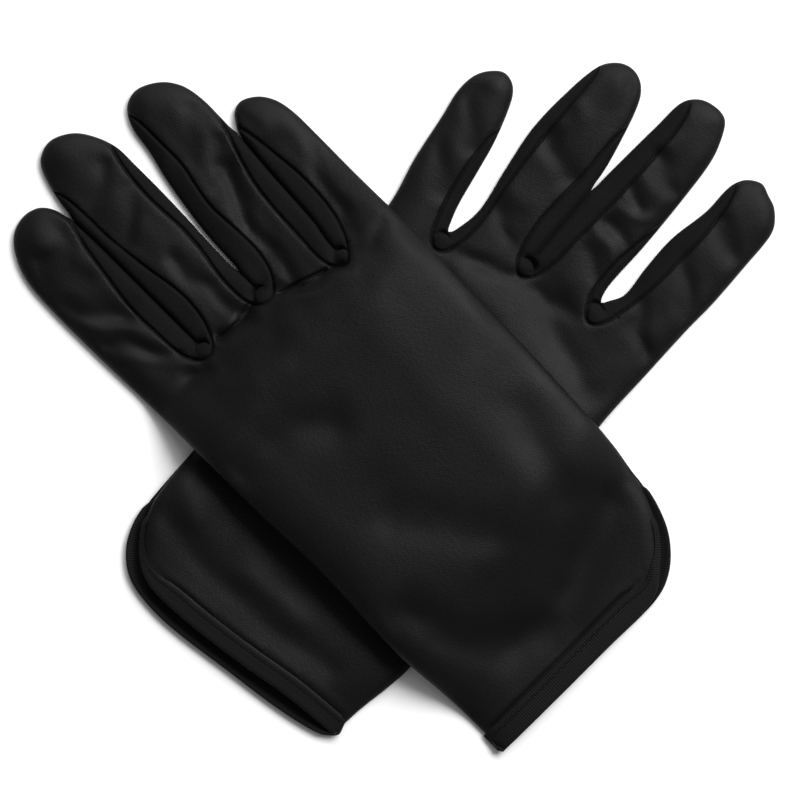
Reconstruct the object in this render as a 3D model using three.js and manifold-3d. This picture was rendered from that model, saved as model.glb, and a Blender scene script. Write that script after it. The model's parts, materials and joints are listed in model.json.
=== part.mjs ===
// A pair of wrist-length dress gloves in stretch satin, laid palm down and crossed, the right on the left.
//
// Each glove is cut and sewn from flat cloth: a back and a palm that share a fold on the index-finger side,
// a side strip (fourchette) on each finger side that faces another finger, a small web where two strips meet
// in the crotch, a thumb let into a round hole in the palm, and a ribbed tape bound over the cuff's edge.
// The little-finger side is open at the cuff as a vent with a rounded corner. The thumb lies tucked under
// the palm. Each ply of cloth is a thin solid. The cloth is split across each finger's root and round the
// thumb's root, where it bends, so that fingers and thumbs can move.
//
// Units are millimetres, +Z up. A glove is built in its own frame: x from the cuff to the fingertips,
// y towards the index finger, z = 0 at the table. The left glove is the right one mirrored.
import * as THREE from "three";
import { mergeVertices } from "three/addons/utils/BufferGeometryUtils.js";
import Module from "manifold-3d";

const wasm = await Module();
wasm.setup();

// ---- Driving dimensions ----
const PLY = 0.7; // one layer of cloth
const GAP = 0.35; // running gap between neighbouring pieces
const HOLLOW = 5.6; // room for the hand between palm and back
const FINGER_HOLLOW = 3.6; // room in a finger, and in the hand next to it
const FINGER_BLEND = { start: 112, end: 136 }; // where the hand's room comes down to the fingers'
const HAND_HALF = 46; // half the width across the palm
const SIDE_SLOPE = 16; // width over which the back comes down to the palm at each side
const VENT_RADIUS = 24; // rounded corner of the open little-finger side
const VENT_TOP = 32; // where the vent ends, from the cuff's edge
const CUFF_OPEN = 2.2; // how far the sides of the cuff stand apart
const CUFF_CLOSE = { start: 34, end: 56 }; // and where they close again
const FOLD_GAP = 0.6; // slit across a finger's root, where the cloth bends
const STRIP = 5.5; // width of a fourchette as seen from above
const STRIP_END = 13; // a fourchette ends this far short of the fingertip
const SEAM_HEIGHT = 4.3; // height of the seam between a finger's back and its side strip
const WEB_RADIUS = 4.5;
const WEB_DIP = 1.7; // how far a web's front edge lies below the back
const TIP_MIN = 2; // narrowest half width of a ply at a fingertip

const THUMB_LAYER = 2.4; // room under the palm for the tucked thumb
const THUMB_ROOT = { x: 70, y: 26 }; // centre of the thumb hole in the palm
const THUMB_HOLE = 11; // radius
const THUMB_DISC = 14; // radius of the thumb's root under the hole
const THUMB_LENGTH = 54;
const THUMB_HALF = 10.5;
const THUMB_TUCK = -17; // degrees from the glove's length, towards the little finger
const THUMB_RAISE = {
  rearStart: THUMB_ROOT.x - THUMB_DISC - 22,
  rearEnd: THUMB_ROOT.x - THUMB_DISC - 1,
  frontStart: THUMB_ROOT.x + THUMB_LENGTH,
  frontEnd: THUMB_ROOT.x + THUMB_LENGTH + 12,
};

const TAPE = { inside: 6, outside: 2, thick: 2.1, slot: 1.3 }; // cuff binding's section
const THREAD = 0.5;
const THREAD_INSET = 3.4; // topstitch from the panel's edge

// Crotches between the fingers, [x, y], from the little finger to the index finger.
const CROTCH = {
  little_ring: [136, -25.5],
  ring_middle: [143.5, -0.5],
  middle_index: [145, 23.5],
};

// Each finger: root is where the cloth folds, half is half its width at the root, sides says which sides
// carry a fourchette: low faces the little finger, high faces the index finger.
const FINGERS = {
  little: { root: [138.5, -36], half: 9.6, high: "little_ring" },
  ring: { root: [146.5, -13], half: 11.6, low: "little_ring", high: "ring_middle" },
  middle: { root: [147.5, 11.5], half: 11.6, low: "ring_middle", high: "middle_index" },
  index: { root: [147.5, 35], half: 11.4, low: "middle_index" },
};

// How each glove lies: length of each finger from its root, and how far it leans towards the index side.
const LAY = {
  right: {
    place: [62.91, -68.19],
    turn: 135,
    fingers: {
      little: { length: 52.5, lean: -1.5 },
      ring: { length: 69, lean: -3.8 },
      middle: { length: 75, lean: 0 },
      index: { length: 64.5, lean: -0.6 },
    },
  },
  left: {
    place: [-49.49, -67.29],
    turn: 50.8,
    fingers: {
      little: { length: 43.5, lean: -8.2 },
      ring: { length: 62, lean: 1.3 },
      middle: { length: 68.5, lean: 2.3 },
      index: { length: 59, lean: 3.8 },
    },
  },
};

// The right glove lies over the left, whose palm crosses it as a band.
const CROSSING = {
  centre: 87,
  slope: -0.128,
  flat: HAND_HALF - 6,
  fall: HAND_HALF + 22,
  height: 2 * PLY + THUMB_LAYER + HOLLOW + 2 * GAP,
};

const CLOTH = new THREE.MeshStandardMaterial({ color: "#161617", roughness: 0.5, metalness: 0 });
const STRIP_CLOTH = new THREE.MeshStandardMaterial({ color: "#0e0e0f", roughness: 0.85, metalness: 0 });
const TAPE_CLOTH = new THREE.MeshStandardMaterial({ color: "#121213", roughness: 0.8, metalness: 0 });
const THREAD_FINISH = new THREE.MeshStandardMaterial({ color: "#0b0b0c", roughness: 0.6, metalness: 0 });

// ---- Small helpers ----
const radians = THREE.MathUtils.degToRad;
const smooth = (value, low, high) => THREE.MathUtils.smoothstep(value, low, high);
const mix = THREE.MathUtils.lerp;

// Piecewise-linear curve through [position, value] pairs.
function along(points, at) {
  const next = points.findIndex(([position]) => position >= at);
  if (next === 0) return points[0][1];
  if (next < 0) return points[points.length - 1][1];
  const [a, b] = [points[next - 1], points[next]];
  return mix(a[1], b[1], (at - a[0]) / (b[0] - a[0]));
}

function volumeOf(positions, triangles) {
  let sum = 0;
  const corner = (i) => new THREE.Vector3(...positions[i]);
  for (const [a, b, c] of triangles) sum += corner(a).dot(corner(b).cross(corner(c)));
  return sum / 6;
}

// A closed geometry with its faces pointing out.
function closed(positions, triangles) {
  const outward = volumeOf(positions, triangles) > 0;
  const faces = outward ? triangles : triangles.map(([a, b, c]) => [a, c, b]);
  const geometry = new THREE.BufferGeometry();
  geometry.setAttribute("position", new THREE.Float32BufferAttribute(positions.flat(), 3));
  geometry.setIndex(faces.flat());
  geometry.computeVertexNormals();
  return geometry;
}

// One ply of cloth: top(a, b) gives the upper surface over rows x columns, and the ply hangs PLY below it.
function ply(rows, columns, top) {
  const positions = [];
  const triangles = [];
  const wide = columns.length;
  const layer = rows.length * wide;
  for (const drop of [0, PLY]) {
    for (const a of rows) {
      for (const b of columns) {
        const [x, y, z] = top(a, b);
        positions.push([x, y, z - drop]);
      }
    }
  }
  const quad = (a, b, c, d) => triangles.push([a, b, c], [a, c, d]);
  for (let i = 0; i + 1 < rows.length; i += 1) {
    for (let j = 0; j + 1 < wide; j += 1) {
      const k = i * wide + j;
      quad(k, k + wide, k + wide + 1, k + 1);
      quad(layer + k, layer + k + 1, layer + k + wide + 1, layer + k + wide);
    }
  }
  const rim = [];
  for (let j = 0; j < wide; j += 1) rim.push(j);
  for (let i = 1; i < rows.length; i += 1) rim.push(i * wide + wide - 1);
  for (let j = wide - 2; j >= 0; j -= 1) rim.push((rows.length - 1) * wide + j);
  for (let i = rows.length - 2; i > 0; i -= 1) rim.push(i * wide);
  rim.forEach((here, i) => {
    const there = rim[(i + 1) % rim.length];
    quad(here, there, layer + there, layer + here);
  });
  return closed(positions, triangles);
}

// A section swept along stations, each with a point and the two directions that the section is drawn in.
function sweep(stations, section) {
  const positions = [];
  const triangles = [];
  for (const { point, inward, up } of stations) {
    for (const [a, b] of section) {
      const p = point.clone().addScaledVector(inward, a).addScaledVector(up, b);
      positions.push(p.toArray());
    }
  }
  const n = section.length;
  for (let i = 0; i + 1 < stations.length; i += 1) {
    for (let j = 0; j < n; j += 1) {
      const k = (j + 1) % n;
      triangles.push([i * n + j, (i + 1) * n + j, (i + 1) * n + k]);
      triangles.push([i * n + j, (i + 1) * n + k, i * n + k]);
    }
  }
  const outline = section.map(([a, b]) => new THREE.Vector2(a, b));
  const last = (stations.length - 1) * n;
  for (const [a, b, c] of THREE.ShapeUtils.triangulateShape(outline, [])) {
    const turned = THREE.ShapeUtils.isClockWise(outline);
    triangles.push(turned ? [a, c, b] : [a, b, c]);
    triangles.push(turned ? [last + a, last + b, last + c] : [last + a, last + c, last + b]);
  }
  return closed(positions, triangles);
}

function solidOf(geometry) {
  const bare = new THREE.BufferGeometry();
  bare.setAttribute("position", geometry.getAttribute("position").clone());
  if (geometry.index) bare.setIndex(geometry.index.clone());
  const merged = mergeVertices(bare, 1e-4);
  return new wasm.Manifold(
    new wasm.Mesh({
      numProp: 3,
      vertProperties: new Float32Array(merged.attributes.position.array),
      triVerts: new Uint32Array(merged.index.array),
    }),
  );
}

function geometryOf(solid) {
  const mesh = solid.getMesh();
  const geometry = new THREE.BufferGeometry();
  geometry.setAttribute("position", new THREE.BufferAttribute(mesh.vertProperties.slice(), 3));
  geometry.setIndex(new THREE.BufferAttribute(mesh.triVerts.slice(), 1));
  geometry.computeVertexNormals();
  return geometry;
}

function named(name, geometry, material) {
  const mesh = new THREE.Mesh(geometry, material);
  mesh.name = name;
  return mesh;
}

// ---- The hand of the glove ----
// How far the cuff's edge lies from x = 0 at a given y: the vent's corner is a quarter circle.
function cuffEdge(y) {
  const into = VENT_RADIUS - (y + HAND_HALF);
  if (into <= 0) return 0;
  return VENT_RADIUS - Math.sqrt(Math.max(0, VENT_RADIUS ** 2 - into ** 2));
}

// Where the back ends towards the fingers. It runs out to each finger's fold and back to each crotch.
function backFront() {
  const { little, ring, middle, index } = FINGERS;
  const step = 0.8;
  const points = [[-HAND_HALF, little.root[0]]];
  const pairs = [
    ["little_ring", little, ring],
    ["ring_middle", ring, middle],
    ["middle_index", middle, index],
  ];
  for (const [name, before, after] of pairs) {
    const [x, y] = CROTCH[name];
    points.push([y - STRIP - step, before.root[0]], [y - STRIP, x], [y, x]);
    points.push([y + STRIP, x], [y + STRIP + step, after.root[0]]);
  }
  points.push([HAND_HALF, index.root[0]]);
  return points.map(([y, x]) => [y, x - FOLD_GAP / 2]);
}

// The palm runs out under the side strips, so it only steps from one fold to the next.
function palmFront() {
  const { little, ring, middle, index } = FINGERS;
  const half = 0.5;
  return [
    [-HAND_HALF, little.root[0]],
    [CROTCH.little_ring[1] - half, little.root[0]],
    [CROTCH.little_ring[1] + half, ring.root[0]],
    [CROTCH.ring_middle[1] - half, ring.root[0]],
    [CROTCH.ring_middle[1] + half, middle.root[0]],
    [CROTCH.middle_index[1], index.root[0]],
    [HAND_HALF, index.root[0]],
  ].map(([y, x]) => [y, x - FOLD_GAP / 2]);
}

// Distance in from the bound edge: the cuff's edge, the vent's corner and the vent's side.
function fromBoundEdge(x, y) {
  const across = y + HAND_HALF;
  if (x < VENT_RADIUS && across < VENT_RADIUS) {
    return VENT_RADIUS - Math.hypot(VENT_RADIUS - x, VENT_RADIUS - across);
  }
  return Math.min(x, Math.hypot(across, Math.max(0, x - VENT_TOP)));
}

// The bound edge stands on its tape, which is thicker than the cloth.
function tapeLift(x, y) {
  const under = (TAPE.thick - PLY) / 2;
  return under * (1 - smooth(fromBoundEdge(x, y), TAPE.inside, TAPE.inside * 3));
}

// Top of the palm ply over the table: it climbs over the tucked thumb.
function palmTop(x, y) {
  const { rearStart, rearEnd, frontStart, frontEnd } = THUMB_RAISE;
  const raised = smooth(x, rearStart, rearEnd) * (1 - smooth(x, frontStart, frontEnd));
  return PLY + THUMB_LAYER * raised + tapeLift(x, y);
}

// Hollow between palm and back at (x, y): full across the middle, and closing down a slope at each side.
function hollow(x, y) {
  const side = mix(CUFF_OPEN, GAP, smooth(x, CUFF_CLOSE.start, CUFF_CLOSE.end));
  const across = Math.min(1, Math.max(0, HAND_HALF - Math.abs(y)) / SIDE_SLOPE);
  const full = mix(HOLLOW, FINGER_HOLLOW, smooth(x, FINGER_BLEND.start, FINGER_BLEND.end));
  const valleys = Object.values(CROTCH).map(([cx, cy]) => {
    const near = smooth(x, cx - 14, cx);
    return near * (1 - smooth(Math.abs(y - cy), STRIP * 0.6, STRIP * 1.5));
  });
  const sunk = Math.max(...valleys) * (FINGER_HOLLOW + 2 * PLY - SEAM_HEIGHT);
  return side + (full - side) * across - sunk;
}

const backTop = (x, y) => palmTop(x, y) + hollow(x, y) + PLY;

const BACK_COLUMNS = [
  -46, -45, -43, -40, -36.5, -33, -31.8, -31, -30, -25.5, -20, -19.2, -13, -6.8, -6, -0.5, 5, 5.8, 11.5, 17.2,
  18, 23.5, 29, 30, 35, 40, 44, 46,
];
const PALM_COLUMNS = [-46, -45, -43, -40, -36.5, -33, -30, -26, -25, -13, -1, 0, 11.5, 23.5, 35, 40, 44, 46];
const HAND_ROWS = [0, 0.05, 0.1, 0.15, 0.21, 0.28, 0.35, 0.5, 0.65, 0.78, 0.84, 0.9, 0.95, 1];

function handPly(front, columns, height, drape) {
  return ply(HAND_ROWS, columns, (a, y) => {
    const x = mix(cuffEdge(y), along(front, y), a);
    return [x, y, height(x, y) + drape(x, y)];
  });
}

function palmPanel(drape) {
  const sheet = handPly(palmFront(), PALM_COLUMNS, palmTop, drape);
  const punch = new THREE.CylinderGeometry(THUMB_HOLE, THUMB_HOLE, 60, 20);
  punch.rotateX(Math.PI / 2);
  punch.translate(THUMB_ROOT.x, THUMB_ROOT.y, 0);
  for (const attribute of ["normal", "uv"]) punch.deleteAttribute(attribute);
  return geometryOf(solidOf(sheet).subtract(solidOf(punch)));
}

// ---- The cuff binding: a tape folded over the panels' edge, in one length ----
function cuffStations(drape) {
  const edge = [];
  const inward = [];
  const ventSteps = 3;
  const cornerSteps = 6;
  const straightSteps = 8;
  for (let i = 0; i < ventSteps; i += 1) {
    edge.push([mix(VENT_TOP, VENT_RADIUS, i / ventSteps), -HAND_HALF]);
    inward.push([0, 1]);
  }
  for (let i = 0; i <= cornerSteps; i += 1) {
    const turn = (i / cornerSteps) * (Math.PI / 2);
    edge.push([VENT_RADIUS * (1 - Math.sin(turn)), -HAND_HALF + VENT_RADIUS * (1 - Math.cos(turn))]);
    inward.push([Math.sin(turn), Math.cos(turn)]);
  }
  for (let i = 1; i <= straightSteps; i += 1) {
    edge.push([0, mix(-HAND_HALF + VENT_RADIUS, HAND_HALF, i / straightSteps)]);
    inward.push([1, 0]);
  }
  const leg = (middle) =>
    edge.map(([x, y], i) => {
      const [alongX, alongY] = inward[i];
      const height = (step) => {
        const [px, py] = [x + alongX * step, y + alongY * step];
        return middle(px, py) + drape(px, py);
      };
      const rise = (height(TAPE.inside) - height(0)) / TAPE.inside;
      return {
        point: new THREE.Vector3(x, y, height(0)),
        inward: new THREE.Vector3(alongX, alongY, rise),
        up: new THREE.Vector3(0, 0, 1),
      };
    });
  const back = leg((x, y) => backTop(x, y) - PLY / 2);
  const palm = leg((x, y) => palmTop(x, y) - PLY / 2);
  return { back, palm };
}

// Round the fold on the index side the tape turns from the back to the palm.
function cuffTurn(back, palm) {
  const top = back[back.length - 1].point;
  const bottom = palm[palm.length - 1].point;
  const radius = (top.z - bottom.z) / 2;
  const centre = top.clone().lerp(bottom, 0.5);
  const steps = 6;
  const stations = [];
  for (let i = 1; i < steps; i += 1) {
    const turn = (i / steps) * Math.PI;
    const out = new THREE.Vector3(0, Math.sin(turn), Math.cos(turn));
    stations.push({
      point: centre.clone().addScaledVector(out, radius),
      inward: new THREE.Vector3(1, 0, 0),
      up: out,
    });
  }
  return stations;
}

// The tape's U section, round the edge of one ply.
function tapeSection() {
  const { inside, outside, thick, slot } = TAPE;
  const [outer, inner] = [thick / 2, slot / 2];
  return [
    [inside, outer],
    [inside, inner],
    [-GAP, inner],
    [-GAP, -inner],
    [inside, -inner],
    [inside, -outer],
    [-outside, -outer],
    [-outside, outer],
  ];
}

function cuffBinding(drape) {
  const { back, palm } = cuffStations(drape);
  const under = palm.map(({ point, inward, up }) => ({ point, inward, up: up.clone().negate() }));
  const stations = [...back, ...cuffTurn(back, palm), ...under.reverse()];
  return sweep(stations, tapeSection());
}

// A run of stitching, which lies on the tape's upper face.
function topstitch(leg) {
  const height = TAPE.thick / 2 + 0.1 + THREAD / 2;
  const stations = leg.slice(1, -1).map(({ point, inward, up }) => ({
    point: point.clone().addScaledVector(inward, THREAD_INSET).addScaledVector(up, height),
    inward,
    up,
  }));
  const sides = 6;
  const section = Array.from({ length: sides }, (_, i) => {
    const turn = (i / sides) * 2 * Math.PI;
    return [(THREAD / 2) * Math.cos(turn), (THREAD / 2) * Math.sin(turn)];
  });
  return sweep(stations, section);
}

// ---- Fingers ----
// Half width of a finger at a distance from its fold: a slight taper and a round end.
function fingerHalf(finger, length, s) {
  const taper = finger.half * (1 - (0.1 * s) / length);
  const round = finger.half;
  const left = length - s;
  if (left >= round) return taper;
  return Math.max(TIP_MIN, taper * Math.sqrt(Math.max(0, 1 - (1 - left / round) ** 2)));
}

// Width of the side strip as seen from above: none at the tip, full towards the root.
function stripWidth(length, s) {
  return STRIP * (1 - smooth(s, length - STRIP_END * 2, length - STRIP_END));
}

// Where a finger's cloth is measured: distances from the fold, then distances back from the fingertip.
const ROOT_STEPS = [STRIP_END / 2, STRIP_END];
const TAPER_STEPS = [STRIP_END * 2, STRIP_END * 1.7, STRIP_END * 1.4];
const TIP_STEPS = [STRIP_END, 9, 5.5, 3, 1.2, 0];
const ACROSS = [-1, -0.66, -0.33, 0, 0.33, 0.66, 1];

function fingerPlace(finger, lay, drape) {
  const lean = radians(lay.lean);
  const [rootX, rootY] = finger.root;
  return (along, across, z) => {
    const square = smooth(along, 0, STRIP_END);
    const x = rootX + along * Math.cos(lean) - across * Math.sin(lean) * square;
    const y = rootY + along * Math.sin(lean) + across * Math.cos(lean);
    return [x, y, z + drape(x, y)];
  };
}

function fingerSteps(length, start) {
  const back = (steps) => steps.map((step) => length - step);
  return [start, ...ROOT_STEPS, ...back(TAPER_STEPS), ...back(TIP_STEPS)];
}

function fingerPalm(finger, lay, place) {
  return ply(fingerSteps(lay.length, FOLD_GAP / 2), [-1, 0, 1], (s, side) =>
    place(s, side * fingerHalf(finger, lay.length, s), PLY),
  );
}

// The finger's back: a low arch from seam to seam, or down to the palm where there is no side strip.
function fingerBack(finger, lay, place) {
  return ply(fingerSteps(lay.length, FOLD_GAP / 2), ACROSS, (s, side) => {
    const half = fingerHalf(finger, lay.length, s);
    const strip = stripWidth(lay.length, s);
    const hasStrip = side < 0 ? finger.low : finger.high;
    const reach = hasStrip ? half - strip : half;
    const tip = 1 - smooth(s, lay.length - 16, lay.length - 2);
    const open = hasStrip ? (strip / STRIP) * tip : 0;
    const edge = mix(PLY * 2 + GAP, SEAM_HEIGHT, open);
    const crown = mix(PLY * 2 + GAP + 0.6, PLY * 2 + FINGER_HOLLOW, tip);
    const z = mix(crown, edge, Math.abs(side) ** 4);
    return place(s, side * reach, z);
  });
}

// A side strip: from the back's edge down to the palm's edge.
function fourchette(finger, lay, place, side, start) {
  const steps = fingerSteps(lay.length, start).slice(0, -TIP_STEPS.length);
  return ply(steps, [0, 0.5, 1], (s, down) => {
    const half = fingerHalf(finger, lay.length, s);
    const strip = stripWidth(lay.length, s);
    const across = side * mix(half - strip + GAP, half, down);
    const top = mix(PLY * 2 + GAP, SEAM_HEIGHT, strip / STRIP);
    return place(s, across, mix(top, PLY * 2 + GAP, down));
  });
}

// The web in a crotch: a half round of cloth that dips from the back towards the palm.
function web([x, y], drape) {
  const rings = [0.12, 0.5, 1];
  const angles = [0.06, 0.2, 0.35, 0.5, 0.65, 0.8, 0.94];
  return ply(rings, angles, (share, turn) => {
    const angle = turn * Math.PI;
    const px = x + GAP + WEB_RADIUS * share * Math.sin(angle);
    const py = y - WEB_RADIUS * share * Math.cos(angle);
    return [px, py, SEAM_HEIGHT - WEB_DIP * share * Math.sin(angle) ** 2 + drape(px, py)];
  });
}

// ---- The thumb ----
function thumbPlace(drape) {
  const tuck = radians(THUMB_TUCK);
  return (along, across, z) => {
    const x = THUMB_ROOT.x + along * Math.cos(tuck) - across * Math.sin(tuck);
    const y = THUMB_ROOT.y + along * Math.sin(tuck) + across * Math.cos(tuck);
    return [x, y, z + drape(x, y)];
  };
}

function thumbHalf(s) {
  const root = Math.sqrt(Math.max(0, THUMB_DISC ** 2 - Math.min(s, 0) ** 2));
  const body = mix(THUMB_DISC, THUMB_HALF, smooth(s, 0, 18));
  const left = THUMB_LENGTH - s;
  const tip = left < THUMB_HALF ? Math.sqrt(Math.max(0, 1 - (1 - left / THUMB_HALF) ** 2)) : 1;
  return Math.max(TIP_MIN, (s < 0 ? root : body) * tip);
}

function thumbUnder(drape) {
  const place = thumbPlace(drape);
  const steps = [-13.8, -12.5, -10, -6, 0, 8, 18, 30, 42, 47, 51, THUMB_LENGTH];
  return ply(steps, [-1, 0, 1], (s, side) => place(s, side * thumbHalf(s), PLY));
}

function thumbOver(drape) {
  const place = thumbPlace(drape);
  const steps = [THUMB_HOLE + 1, 18, 30, 42, 47, 51, THUMB_LENGTH];
  return ply(steps, [-1, -0.5, 0, 0.5, 1], (s, side) => {
    const crown = THUMB_LAYER - GAP * 2 - (PLY * 2 + GAP);
    const z = PLY * 2 + GAP + crown * (1 - Math.abs(side) ** 2);
    return place(s, side * thumbHalf(s), z);
  });
}

// ---- A whole glove ----
function glove(hand, drape) {
  const group = new THREE.Group();
  const add = (name, geometry, material) => group.add(named(hand + "_" + name, geometry, material));

  add("back_panel", handPly(backFront(), BACK_COLUMNS, backTop, drape), CLOTH);
  add("palm_panel", palmPanel(drape), CLOTH);
  add("cuff_binding", cuffBinding(drape), TAPE_CLOTH);
  const legs = cuffStations(drape);
  add("cuff_topstitch", topstitch(legs.back), THREAD_FINISH);
  for (const [name, place] of Object.entries(CROTCH)) add("web_" + name, web(place, drape), STRIP_CLOTH);
  add("thumb_under", thumbUnder(drape), CLOTH);
  add("thumb_over", thumbOver(drape), CLOTH);

  for (const [name, finger] of Object.entries(FINGERS)) {
    const lay = LAY[hand].fingers[name];
    const place = fingerPlace(finger, lay, drape);
    add(name + "_back", fingerBack(finger, lay, place), CLOTH);
    add(name + "_palm", fingerPalm(finger, lay, place), CLOTH);
    for (const [side, key] of [
      [-1, "low"],
      [1, "high"],
    ]) {
      if (!finger[key]) continue;
      const clear = CROTCH[finger[key]][0] + WEB_RADIUS + 2 * GAP - finger.root[0];
      const start = Math.max(FOLD_GAP / 2, clear);
      const strip = fourchette(finger, lay, place, side, start);
      add(name + "_fourchette_" + finger[key], strip, STRIP_CLOTH);
    }
  }
  return group;
}

// Height of the right glove over the table: it lies over the left one and comes down on both sides of it.
function overTheOther(x, y) {
  const { centre, slope, flat, fall, height } = CROSSING;
  return height * (1 - smooth(Math.abs(x - (centre + slope * y)), flat, fall));
}

const right = glove("right", overTheOther);
right.rotation.z = radians(LAY.right.turn);
right.position.set(...LAY.right.place, 0);

const left = glove("left", () => 0);
left.scale.y = -1;
left.rotation.z = radians(LAY.left.turn);
left.position.set(...LAY.left.place, 0);

const gloves = new THREE.Group();
gloves.add(left, right);
export default gloves;
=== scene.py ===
# %% [markdown]
# # A crossed pair of stretch satin dress gloves
# The gloves lie palm down on a table, the right one over the left. Each glove is cut cloth: a back and a
# palm, side strips (fourchettes) between the fingers, a thumb tucked under the palm, and a ribbed tape bound
# over the cuff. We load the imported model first, because its bodies and joints are what our pieces ride on.
# Cloth could be simulated, but an empty glove at rest barely moves, so its height is drawn instead. That
# gives the same folds at every run.

import json
import math

import bpy
import numpy as np
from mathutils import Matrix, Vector, geometry, noise


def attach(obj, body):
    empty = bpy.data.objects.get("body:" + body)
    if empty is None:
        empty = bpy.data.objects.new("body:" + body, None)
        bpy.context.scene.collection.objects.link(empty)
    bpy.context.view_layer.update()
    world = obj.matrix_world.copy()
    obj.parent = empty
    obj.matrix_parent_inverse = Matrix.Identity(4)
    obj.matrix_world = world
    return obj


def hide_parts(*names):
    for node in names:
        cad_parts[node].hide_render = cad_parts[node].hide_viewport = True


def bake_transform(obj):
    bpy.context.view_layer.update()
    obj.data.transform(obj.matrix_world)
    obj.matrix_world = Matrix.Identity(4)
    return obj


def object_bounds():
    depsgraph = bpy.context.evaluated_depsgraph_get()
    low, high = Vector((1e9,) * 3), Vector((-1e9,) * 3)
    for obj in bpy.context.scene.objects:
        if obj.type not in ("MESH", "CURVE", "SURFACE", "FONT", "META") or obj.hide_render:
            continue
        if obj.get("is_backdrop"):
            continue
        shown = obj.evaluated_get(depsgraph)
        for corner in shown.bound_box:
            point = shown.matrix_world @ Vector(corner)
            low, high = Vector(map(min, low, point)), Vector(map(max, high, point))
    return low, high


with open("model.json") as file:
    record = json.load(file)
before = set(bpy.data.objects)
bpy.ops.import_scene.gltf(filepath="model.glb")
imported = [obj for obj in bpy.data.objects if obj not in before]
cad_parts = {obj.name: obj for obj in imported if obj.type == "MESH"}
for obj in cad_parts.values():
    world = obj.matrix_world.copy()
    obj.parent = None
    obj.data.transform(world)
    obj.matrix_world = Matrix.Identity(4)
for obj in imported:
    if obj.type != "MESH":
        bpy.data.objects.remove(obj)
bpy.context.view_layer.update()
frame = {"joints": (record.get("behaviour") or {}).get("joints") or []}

# %% [markdown]
# ## Where each glove lies
# A glove has its own flat frame in millimetres: u runs from the cuff to the fingertips, and v runs across,
# towards the index finger. The left glove's frame is mirrored. Cloth is cut flat, so all shapes below are
# drawn in this frame, and one function carries them to the table.


# %% Glove frames
MM = 0.001
HANDS = {
    "left": {"origin": (-44.94, -71.19), "turn": 49.5, "mirror": -1},
    "right": {"origin": (62.93, -68.17), "turn": 135.0, "mirror": 1},
}


def on_table(hand, uvz):
    """Points (u, v, z) of a glove, in mm, as points of the model, in metres."""
    lay = HANDS[hand]
    turn = math.radians(lay["turn"])
    uvz = np.asarray(uvz, float)
    u, v, z = uvz[:, 0], uvz[:, 1] * lay["mirror"], uvz[:, 2]
    x = lay["origin"][0] + u * math.cos(turn) - v * math.sin(turn)
    y = lay["origin"][1] + u * math.sin(turn) + v * math.cos(turn)
    return np.column_stack([x, y, z]) * MM


def in_glove(hand, point):
    """A point of the model, in metres, as (u, v) of a glove, in mm."""
    lay = HANDS[hand]
    turn = math.radians(lay["turn"])
    x, y = point[0] / MM - lay["origin"][0], point[1] / MM - lay["origin"][1]
    u = x * math.cos(turn) + y * math.sin(turn)
    return u, lay["mirror"] * (-x * math.sin(turn) + y * math.cos(turn))


# %% [markdown]
# ## The pattern
# A glove maker starts from a paper pattern, and so do we. The rim is the folded or sewn edge that back and
# palm share. It starts at the top of the side vent, runs up the little finger, round all four fingers, and
# back to the cuff on the index side. Each crotch has a seam, where the matt side strips meet the satin back.

# %% Pattern of the rim
RIM = {
    "right": [
        (30, -41.5), (40, -43), (55, -44), (80, -45), (120, -46), (150, -46), (170, -46.2), (178, -46),
        (184, -44.8), (188.7, -41.8), (191.4, -37), (190, -33), (184.6, -30.3), (170, -28.7), (150, -27.4),
        (143, -26.2), (139.6, -25.5), (143, -25.3), (150, -26.6), (170, -27.8), (184, -29), (192, -29.4),
        (200, -29.4), (207, -28), (212.4, -24.2), (215.9, -17.5), (214.4, -12), (209, -8.6), (200, -7),
        (190, -4.6), (180, -2.9), (170, -1.6), (158, -1), (148.6, -0.6), (158, -0.2), (168, -0.4),
        (176, -0.8), (190, -1.2), (200, -1.2), (208, -1), (215, 1.5), (220.4, 5.5), (223.4, 12),
        (221.2, 18), (215, 21), (207, 22.8), (200, 23.3), (190, 23.1), (170, 23.1), (155, 23.1),
        (149.6, 23.5), (155, 23.9), (170, 23.9), (190, 23.9), (200, 24.2), (205.6, 24.7), (209.4, 26.3),
        (212, 29), (213, 33.5), (211.6, 38.6), (207.6, 42.6),
        (200, 46), (190, 47.2), (170, 47.3), (150, 46.8), (125, 46.2), (100, 46), (75, 45.3), (50, 46.3),
        (40, 46.5), (20, 45.3), (5, 45.1), (-1.5, 45.2),
    ],
    "left": [
        (34, -50.6), (60, -51.3), (90, -52.3), (120, -53.4), (132, -54.2), (145, -57), (160, -59),
        (170, -60.4), (177, -59), (182, -54), (181.4, -49.6), (177.6, -46.4), (165, -42.2), (155, -40.2),
        (143, -38), (136.6, -36), (135, -35.1), (136.6, -33.9), (146, -32.2), (160, -34.2), (175, -36),
        (190, -35.2), (202, -33), (206.5, -29.4), (208, -25), (206.5, -20.4), (202, -17), (190, -13.6),
        (177, -11.2), (160, -11), (150, -11), (144.6, -10.6), (150, -10.2), (160, -10.3), (175, -10.1),
        (190, -9), (200, -8.1), (210, -7), (214.2, -3.4), (215.5, 2), (214.5, 6), (211, 8.4), (203, 11),
        (190, 12), (170, 12.4), (155, 12), (150.4, 12.6), (148.6, 13.6), (150.2, 14.8), (155, 17.4),
        (165, 17), (177, 17.2), (190, 19.8), (200, 20.3), (204.5, 22.4), (207, 27), (205.5, 31), (204, 34.4),
        (200, 38), (196, 39.2), (185, 39.3), (170, 39.2), (160, 38.5), (140, 37.8), (122, 37.2), (100, 38.4),
        (75, 39.4), (50, 40.2), (28, 41), (20, 40), (10, 38), (2.5, 37), (-1.5, 36.8),
    ],
}
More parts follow.
